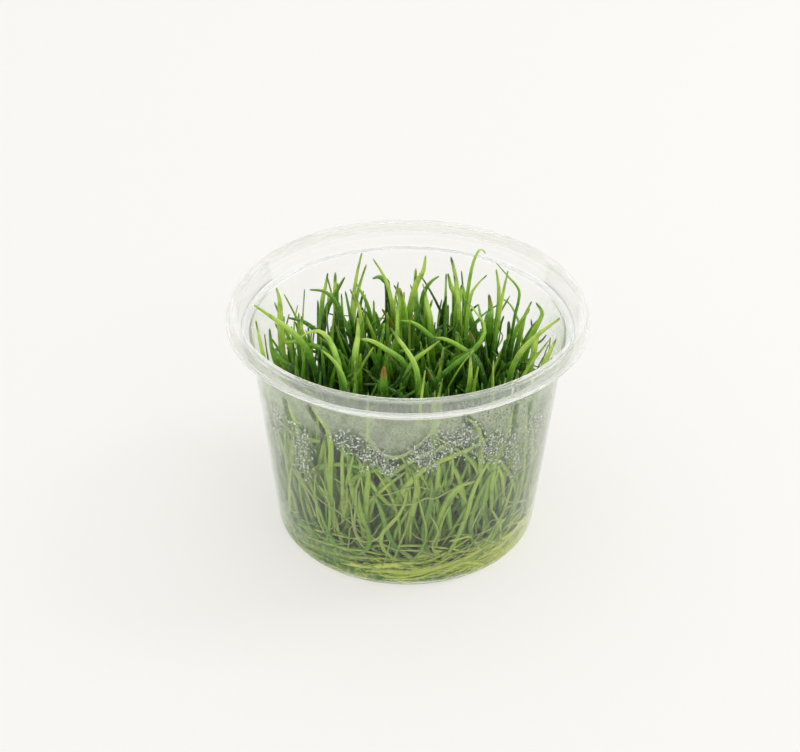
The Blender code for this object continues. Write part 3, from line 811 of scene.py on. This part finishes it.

# Tone, width and age of leaves that stand out, by plantlet and leaf. Tone is 0 for old and shaded, and 1 for
# young and lit, so it holds painted shade and light as well as the leaf's own green, and the widths are
# shares of the full width.
NOTED = {
    (1, 1): (0.72, 0.5, 0), (1, 2): (0.85, 0.8, 0), (2, 1): (0.9, 0.8, 0), (3, 1): (0.9, 0.75, 0),
    (3, 2): (0.5, 0.75, 0), (4, 1): (0.7, 0.8, 0), (4, 2): (0.12, 0.75, 0.2), (5, 1): (0.15, 0.8, 0.25),
    (6, 1): (0.85, 0.95, 0), (7, 1): (0.75, 0.75, 0), (9, 1): (0.8, 0.8, 0), (9, 2): (0.7, 0.75, 0),
    (10, 1): (0.45, 0.5, 0), (10, 2): (0.8, 0.8, 0), (11, 1): (0.8, 0.75, 0), (12, 1): (0.6, 0.8, 0),
    (13, 1): (0.85, 0.85, 0), (15, 1): (0.35, 0.75, 0), (17, 1): (0.75, 0.8, 0), (18, 1): (0.75, 0.75, 0),
    (19, 1): (0.55, 0.75, 0), (20, 1): (0.75, 0.8, 0), (21, 1): (0.85, 0.8, 0), (21, 2): (0.8, 0.8, 0),
    (22, 1): (0.8, 0.75, 0), (23, 1): (0.7, 0.8, 0), (23, 2): (1.0, 0.8, 0), (24, 1): (0.95, 0.9, 0),
    (26, 2): (0.95, 0.75, 0), (27, 1): (0.9, 0.8, 0), (28, 1): (0.8, 0.8, 0),
}

# From old and shaded to young and lit.
LEAF_GREENS = [(0.0, (0.024, 0.085, 0.005)), (0.35, (0.090, 0.27, 0.011)), (0.65, (0.235, 0.47, 0.027)),
               (1.0, (0.54, 0.72, 0.125))]
# Paler green for leaves that touch the wall: painted light.
LEAF_LIT_AT_WALL = (0.52, 0.72, 0.15, 1.0)
LEAF_MOTTLE = (0.05, 0.14, 0.010, 1.0)
LEAF_CROSS_WALL = (0.42, 0.58, 0.12, 1.0)
LEAF_FOOT = (0.45, 0.52, 0.16, 1.0)
LEAF_TIP = (0.075, 0.120, 0.030, 1.0)
LEAF_BROWN = (0.22, 0.07, 0.022, 1.0)
LEAF_STRAW = (0.42, 0.28, 0.06, 1.0)

rng = random.Random(58)
leaf_green, shade, shader = finish("leaf_green", 0.36, Subsurface_Weight=0.30, Subsurface_Scale=0.001,
                                   Subsurface_Radius=(0.8, 1.4, 0.25), Specular_IOR_Level=0.45)
tone = mark(shade, "tone")
age = mark(shade, "age")
along = mark(shade, "along")
across = mark(shade, "across")
place = shade.node("TexCoord", out="Object")
streak = shade.node("CombineXYZ", {0: across * 3.2, 1: along * 1.3, 2: tone * 40.0}).noise(2.4, 3.0)
mottle = place.noise(320.0, 3.0)
x, y, z = (shade.node("SeparateXYZ", {0: place}, out=axis) for axis in range(3))
radius = shade.sum("SQRT", x * x + y * y)
# Painted shade: leaves in the middle of the cup, away from the wall, are darkened, the more the lower they
# lie. Leaves also get lighter towards their tips.
within = 1.0 - radius.rise(0.029, 0.037)
painted_depth_shade = within * (1.0 - z.rise(0.038, 0.064))
level = tone * 0.85 + along.rise(0.15, 0.95) * 0.35 + (streak - 0.5) * 0.9 - painted_depth_shade * 0.82 + 0.01
body = shade.node("ValToRGB", {"Fac": level}, {"stops": LEAF_GREENS})
# Painted light: leaves that touch the wall are made paler, as if lit through the plastic.
gap = inner_radius(0.0) + z * (SLOPE / MM) - radius / MM
painted_wall_light = (1.0 - gap.rise(1.0, 2.4)) * z.rise(0.012, 0.024)
body = (painted_wall_light * 0.22).blend(body, LEAF_LIT_AT_WALL)
body = (mottle.rise(0.50, 0.75) * 0.45).blend(body, LEAF_MOTTLE)
septa = shade.sum("ABSOLUTE", shade.sum("SINE", along * 44.0)) ** 18.0
body = (septa * 0.18).blend(body, LEAF_CROSS_WALL)
body = ((1.0 - along.rise(0.02, 0.22)) * 0.7).blend(body, LEAF_FOOT)
tip = along.rise(0.85, 0.99) * (0.25 + 0.65 * mottle.rise(0.35, 0.6))
body = tip.blend(body, LEAF_TIP)
withered = streak.rise(0.3, 0.7).blend(LEAF_BROWN, LEAF_STRAW)
body = (age * along.rise(0.72, 0.90)).blend(body, withered)
groove = shade.sum("SINE", across * 9.0) * 0.25 + streak * 0.6 - septa * 0.3
feed(shade, shader, Base_Color=body, Roughness=mottle * 0.25 + 0.26, Normal=groove.bumps(0.0003, 0.35))


def nearest_crown(foot):
    """The number, from 0, of the plantlet whose crown is nearest to a leaf's foot."""
    return min(range(len(crowns)), key=lambda index: (crowns[index].xy - foot.xy).length)


more_of = [[] for _ in crowns]
for points, width, tone_at, age_at in MORE_LEAVES:
    more_of[nearest_crown(Vector(points[0]))].append((points, width, tone_at, age_at))

pressed_of = [[] for _ in crowns]
for number in range(PRESSED):
    angle = 360 * number / PRESSED - 180 + rng.gauss(0.0, 2.5)
    pressed_of[nearest_crown(wall_point(angle, MAT_CENTRE, WALL_CROWN_INWARD))].append(angle)

for number, (crown, routes) in enumerate(plantlets, start=1):
    copies, tones, ages = [], [], []
    for leaf, (route, width, on_wall) in enumerate(leaves_of[number - 1], start=1):
        smooth = smooth_route(route, SECTIONS + 1, nearer_tip)
        across = np.array((1.0, rng.gauss(0.0, 0.35), 0.0))
        tone_at, share, age_at = NOTED.get((number, leaf), (rng.uniform(0.35, 0.9), 0.75, 0.0))
        width *= share
        if on_wall:
            smooth = [against_wall(point) for point in smooth]
        copies.append(laid(leaf_blank, smooth, width, 0.7, None if on_wall else across,
                           0.0 if on_wall else rng.gauss(0.0, 0.35)))
        if on_wall:
            pressed_on.append((smooth, width))
        tones.append(tone_at)
        ages.append(age_at)
    for points, width, tone_at, age_at in more_of[number - 1]:
        smooth = smooth_route(route_from(crown, points), SECTIONS + 1, nearer_tip)
        across = np.array((1.0, rng.gauss(0.0, 0.3), 0.0))
        copies.append(laid(leaf_blank, smooth, width, 0.75, across, rng.gauss(0.0, 0.3)))
        tones.append(tone_at)
        ages.append(age_at)
    for extra in range(CROWD_EACH + len(pressed_of[number - 1])):
        if extra < CROWD_EACH:
            route = smooth_route(crowd_route(crown, rng), SECTIONS + 1, nearer_tip)
            pressed = math.hypot(route[-3].x, route[-3].y) > inner_radius(route[-3].z) - 2.0
        else:
            angle = pressed_of[number - 1][extra - CROWD_EACH]
            route = smooth_route(pressed_route(angle, rng), SECTIONS + 1, nearer_tip)
            pressed = True
        facing = rng.gauss(0.0, 0.5) if rng.random() < 0.5 else rng.uniform(-math.pi, math.pi)
        across = None if pressed else np.array((math.cos(facing), math.sin(facing), 0.0))
        width = rng.uniform(0.7, 2.0) if pressed else rng.uniform(1.5, 2.8)
        copies.append(laid(leaf_blank, route, width, 0.65, across, 0.0 if pressed else rng.gauss(0.0, 0.6)))
        if pressed:
            pressed_on.append((route, width))
        tones.append(clamped(rng.gauss(0.56 if pressed else 0.47, 0.30)))
        inner = math.hypot(crown.x, crown.y) < 18
        ages.append(rng.uniform(0.6, 1.0) if inner and rng.random() < 0.04 and not pressed else 0.0)
    copies = [np.minimum(points, (60.0, 60.0, TALLEST)) for points in copies]
    tuft = joined(f"leaves_{number:02d}", leaf_blank, leaf_faces, copies, {"tone": tones, "age": ages},
                  nearer_tip)
    tuft.data.materials.append(leaf_green)
    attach(tuft, "root")
    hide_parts(f"plantlet_{number:02d}")


# Runners and pale roots on the wall: thin round stems that have crept up or looped down the plastic,
# each held to it by the film of water there. The finest are root hairs.
ROOT_SECTIONS = 28
ROOT_GREEN = (0.30, 0.46, 0.06, 1.0)
ROOT_PALE = (0.60, 0.70, 0.24, 1.0)
ROOT_SPECK = (0.30, 0.34, 0.12, 1.0)
ROOT_HAIRS = 64
root_blank, root_faces = blank_blade(6, ROOT_SECTIONS, lambda t: min(1.0, 0.6 + 3 * t, 0.35 + 3 * (1 - t)))
pale, shade, shader = finish("pale_root", 0.4, Subsurface_Weight=0.3, Subsurface_Scale=0.001,
                             Subsurface_Radius=(1.0, 1.0, 0.5))
along = mark(shade, "along")
tone = mark(shade, "tone")
speck = shade.node("TexCoord", out="Object").noise(380.0, 3.0)
body = tone.blend(ROOT_GREEN, ROOT_PALE)
body = (speck.rise(0.4, 0.8) * 0.4).blend(body, ROOT_SPECK)
feed(shade, shader, Base_Color=body, Roughness=speck * 0.3 + 0.25, Normal=speck.bumps(0.0002, 0.3))
for number, ((radius, _), route) in enumerate(zip(WALL_RUNNERS, runner_routes), start=1):
    stem = joined(f"wall_runner_{number:02d}", root_blank, root_faces,
                  [laid(root_blank, smooth_route(route, ROOT_SECTIONS + 1), 2 * radius, 2 * radius)],
                  {"tone": [0.6]})
    stem.data.materials.append(pale)
    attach(stem, "root")
    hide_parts(f"runner_{number:02d}")

# Angle and height along each, then its width.
FINE_ROOTS = [
    (((-35, 47), (-44, 45), (-52, 44.7), (-62, 45.5)), 1.3),
    (((-23, 27), (-22, 18), (-18, 13), (-15, 16.5)), 0.5),
    (((-75, 17), (-66, 14.5), (-56, 13), (-36, 7)), 1.2),
    (((38, 22), (42, 17), (45, 12), (46, 3)), 0.8),
    (((36, 42), (46.5, 31.5), (53.5, 20), (50, 8)), 1.4),
    (((2, 30), (0, 22), (-3, 15), (-6, 8)), 0.6),
    (((9, 27), (13, 20), (11, 14), (15, 10)), 0.5),
    (((32, 25), (28, 17), (31, 12), (36, 12)), 0.5),
]
rng = random.Random(13)
for number in range(ROOT_HAIRS):
    angle = rng.uniform(-180, 180)
    height = rng.uniform(9, 36)
    steps = [(angle, height)]
    bend = rng.uniform(-8, 8)
    for step in range(4):
        bend += rng.uniform(-5, 5)
        angle += bend
        height = max(2.5, height - rng.uniform(-1.0, 8.0))
        steps.append((angle, height))
    FINE_ROOTS.append((tuple(steps), rng.choice([0.25, 0.3, 0.4, 0.5])))
fine_copies, fine_tones = [], []
for steps, width in FINE_ROOTS:
    route = [wall_point(angle, z, width / 2 + 0.25) for angle, z in steps]
    fine_copies.append(laid(root_blank, smooth_route(route, ROOT_SECTIONS + 1), width, min(width, 0.7)))
    fine_tones.append(rng.uniform(0.2, 1.0) if width < 1.0 else 0.05)
fine = joined("fine_roots", root_blank, root_faces, fine_copies, {"tone": fine_tones})
fine.data.materials.append(pale)
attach(fine, "root")


# Condensation: water on the inside of the wall, where the damp air meets cool plastic. A fine fog covers
# the upper wall and clears round the leaves that touch it. Under it droplets gather in patches, finest at
# the right, and some run together.
DROP_SIZES = (0.12, 0.55)  # least and greatest radius
DROP_LEVELS = (30, 61.5)  # heights between which they lie
LEAF_NEAR_WALL = 2.2  # how close to the wall a leaf clears the fog
SPARKLE = (0.96, 1.0, 0.91, 1.0)

# Angle and height of the fog's lower edge, along the wall.
FOG_FLOOR = [(-180, 53), (-75, 50), (-55, 50), (-40, 52), (-20, 53), (-4, 50), (12, 55), (28, 52), (42, 46),
             (55, 40), (70, 42), (95, 50), (180, 53)]

# The middle's angle and height, the spread both ways, and how many droplets are tried.
DEW_PATCHES = [
    (-45, 38.5, 2.2, 3.5, 240), (-43, 45, 2.5, 2.5, 200), (-59, 49, 3, 3.5, 260), (-22, 50.5, 3, 1.6, 260),
    (-12, 48, 3.5, 2.2, 420), (-7, 43.5, 1.6, 1.6, 140), (8, 49.5, 4, 2.4, 540), (7, 46, 1.8, 1.4, 140),
    (20, 53.5, 4, 2.5, 520), (33, 46.5, 3.5, 2.5, 480), (43, 43, 1.6, 2.5, 150), (48, 36.5, 1.6, 2.5, 130),
    (60, 47, 7, 6, 900),
]
touched = mathutils.kdtree.KDTree(sum(len(route) * 3 for route, _ in pressed_on))
touches = []
for route, width in pressed_on:
    for start, end in zip(route, route[1:]):
        for share in (0.0, 1 / 3, 2 / 3):
            point = start.lerp(end, share)
            if math.hypot(point.x, point.y) > inner_radius(point.z) - LEAF_NEAR_WALL:
                touched.insert(point, len(touches))
                touches.append(width / 2)
touched.balance()
fog = []
for vertex in cup.data.vertices:
    point = vertex.co / MM
    reach = math.hypot(point.x, point.y)
    if reach > inner_radius(point.z) + 0.1 or not 2.0 < point.z < 63.0:
        fog.append(0.0)
        continue
    angle = math.degrees(math.atan2(point.x, -point.y))
    floor = np.interp(angle, *zip(*FOG_FLOOR))
    amount = 1 / (1 + math.exp(-(point.z - floor - 1.2 * math.sin(angle * 0.23)) / 1.5))
    amount *= 0.88 - 0.88 * clamped((point.y + 2) / 14)
    haze = (0.55 if angle > 0 else 0.36) * clamped((125 - abs(angle)) / 30)
    amount = max(amount, haze * clamped((abs(angle) - 42) / 18) * clamped((point.z - 12) / 18))
    for turn, z, spread, rise, _ in DEW_PATCHES:
        amount *= 1 - 0.75 * math.exp(-((angle - turn) / spread) ** 2 / 2 - ((point.z - z) / rise) ** 2 / 2)
    _, nearest, gap = touched.find(point)
    near = gap - touches[nearest] - 0.35
    fog.append(amount * clamped(near / 0.6, 0.15))
marked(cup, "fog", fog)

bpy.ops.object.select_all(action="DESELECT")
bpy.ops.mesh.primitive_uv_sphere_add(segments=8, ring_count=6, radius=1.0)
dome = bpy.context.object
bpy.ops.object.mode_set(mode="EDIT")
bpy.ops.mesh.select_all(action="SELECT")
bpy.ops.mesh.bisect(plane_co=(0, 0, 0.01), plane_no=(0, 0, 1), use_fill=True, clear_inner=True)
bpy.ops.object.mode_set(mode="OBJECT")
dome_points = np.array([tuple(vertex.co) for vertex in dome.data.vertices])
dome_faces = [tuple(face.vertices) for face in dome.data.polygons]
bpy.data.objects.remove(dome)
rng = random.Random(92)
drops, glints, taken = [], [], np.zeros((0, 4))
for angle, z, spread, rise, count in DEW_PATCHES:
    for number in range(count):
        turn = rng.gauss(angle, spread)
        height = rng.gauss(z, rise)
        size = rng.lognormvariate(-1.25 if angle < 50 else -1.6, 0.40)
        size = min(DROP_SIZES[1], max(DROP_SIZES[0], size))
        if not DROP_LEVELS[0] < height < DROP_LEVELS[1]:
            continue
        centre = np.array(wall_point(turn, height, 0.03))
        apart = np.linalg.norm(taken[:, :3] - centre, axis=1)
        if np.any(apart < 0.72 * (taken[:, 3] + size)):
            continue
        taken = np.vstack([taken, [*centre, size]])
        inward = np.array((-math.sin(math.radians(turn)), math.cos(math.radians(turn)), SLOPE))
        inward /= np.linalg.norm(inward)
        side = np.array((math.cos(math.radians(turn)), math.sin(math.radians(turn)), 0.0))
        rising = np.cross(inward, side)
        stretch = rng.uniform(0.7, 1.6)
        # Painted glint: on some droplets, the half on a random side is painted white.
        bright, aside = rng.choice([0.0, 0.7, 1.0]), rng.uniform(0, 2 * math.pi)
        lit_side = dome_points[:, 0] * math.cos(aside) + dome_points[:, 1] * math.sin(aside) > 0.05
        glints.append(bright * lit_side)
        drops.append(centre + dome_points[:, :1] * side * size + dome_points[:, 1:2] * rising * size * stretch
                     + dome_points[:, 2:] * inward * size * rng.uniform(0.75, 1.0))
dew = many("condensation", drops, dome_faces)
marked(dew, "glint", np.concatenate(glints).astype(np.float32))
picked(dew)
bpy.ops.object.mode_set(mode="EDIT")
bpy.ops.mesh.select_all(action="SELECT")
bpy.ops.mesh.normals_make_consistent(inside=False)
bpy.ops.object.mode_set(mode="OBJECT")
bpy.ops.object.shade_smooth_by_angle(angle=math.radians(50))
water, shade, shader = finish("water", 0.02, Transmission_Weight=1.0, IOR=1.333)
film = shade.node("TexCoord", out="Object").noise(900.0)
feed(shade, shader, Roughness=film * 0.04)
# The painted glint's white.
sparkle = shade.node("BsdfDiffuse", {"Color": SPARKLE})
clear = Shade(shade.tree, shader.outputs[0])
both = shade.node("MixShader", {0: mark(shade, "glint").rise(0.30, 0.60), 1: clear, 2: sparkle})
feed(shade, shade.tree.nodes["Material Output"], Surface=both)
dew.data.materials.append(water)
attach(dew, "root")
